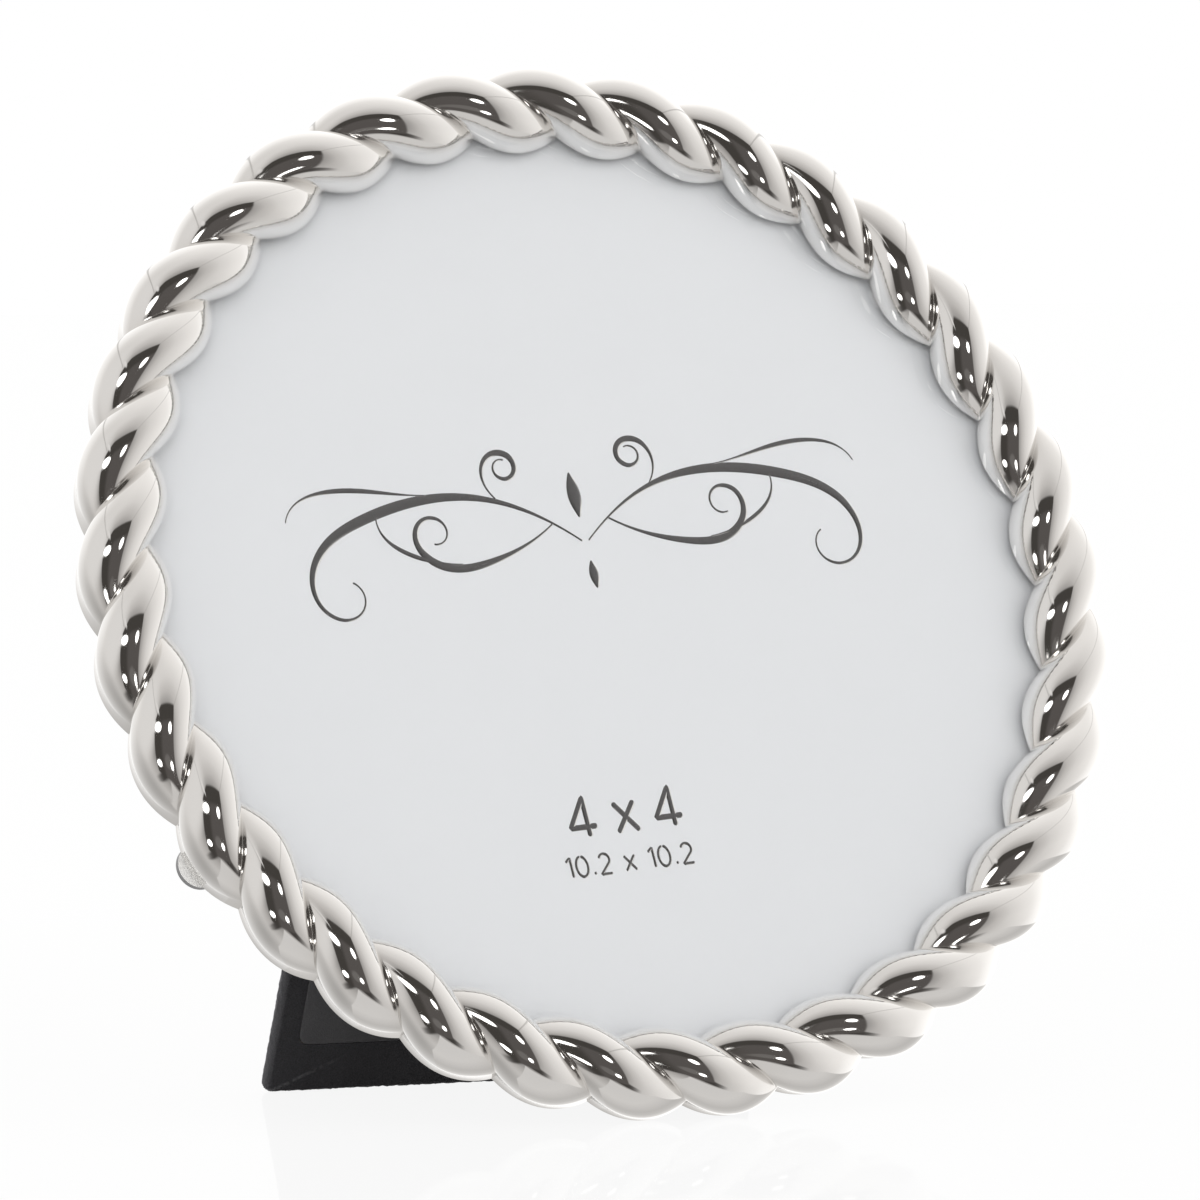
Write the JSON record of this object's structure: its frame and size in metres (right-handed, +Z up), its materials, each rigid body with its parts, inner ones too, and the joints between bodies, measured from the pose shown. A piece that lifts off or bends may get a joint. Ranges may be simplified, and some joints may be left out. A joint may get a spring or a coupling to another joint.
{
  "type": "round photo frame",
  "caption": "Round tabletop photo frame with a twisted-rope silver rim, glass, a printed display card, turn clips and a hinged velvet easel leg.",
  "frame": {"origin": "on the surface that the frame stands on, under the middle of the whole box, with the leg out", "axes": "+Z up, the glass faces -Y and up, +X to the right seen from the front"},
  "size_m": [0.1142, 0.051, 0.1063],
  "materials": {
    "silver_plate": "polished silver plate on a cast rim",
    "clear_glass": "clear flat glass",
    "print_card": "pale grey satin card",
    "grey_board": "uncoated grey board",
    "black_paper": "matt black paper",
    "hardboard": "pressed hardboard",
    "black_velvet": "black velvet",
    "lining_velvet": "black velvet panel",
    "hinge_steel": "nickel-plated",
    "rivet_steel": "nickel-plated",
    "clip_steel": "bright nickel-plated"
  },
  "bodies": {
    "frame": {"rim": "silver_plate", "glass": "clear_glass", "insert_card": "print_card", "filler_card": "grey_board", "back_lining": "black_paper", "back_board": "hardboard", "back_velvet": "black_velvet", "hinge_back_leaf": "hinge_steel", "hinge_pin": "hinge_steel", "back_rivets": "rivet_steel", "clip_screws": "rivet_steel"},
    "leg": {"leg_board": "hardboard", "leg_velvet": "black_velvet", "leg_lining": "lining_velvet", "hinge_leg_leaf": "hinge_steel", "leg_rivets": "rivet_steel"},
    "clip_top": {"clip_top": "clip_steel"},
    "clip_left": {"clip_left": "clip_steel"},
    "clip_right": {"clip_right": "clip_steel"}
  },
  "joints": [
    {"name": "leg_hinge", "type": "hinge", "parent": "frame", "child": "leg", "pos_m": [-0.00003, 0.01356, 0.07441], "axis": [1, 0, 0], "range_deg": [-29.5, 0]},
    {"name": "clip_top_turn", "type": "hinge", "parent": "frame", "child": "clip_top", "pos_m": [-0.00003, 0.02308, 0.10085], "axis": [0, -0.9222, 0.3867], "continuous": true},
    {"name": "clip_left_turn", "type": "hinge", "parent": "frame", "child": "clip_left", "pos_m": [-0.04599, -0.0077, 0.02744], "axis": [0, -0.9222, 0.3867], "continuous": true},
    {"name": "clip_right_turn", "type": "hinge", "parent": "frame", "child": "clip_right", "pos_m": [0.04592, -0.0077, 0.02744], "axis": [0, -0.9222, 0.3867], "continuous": true}
  ]
}
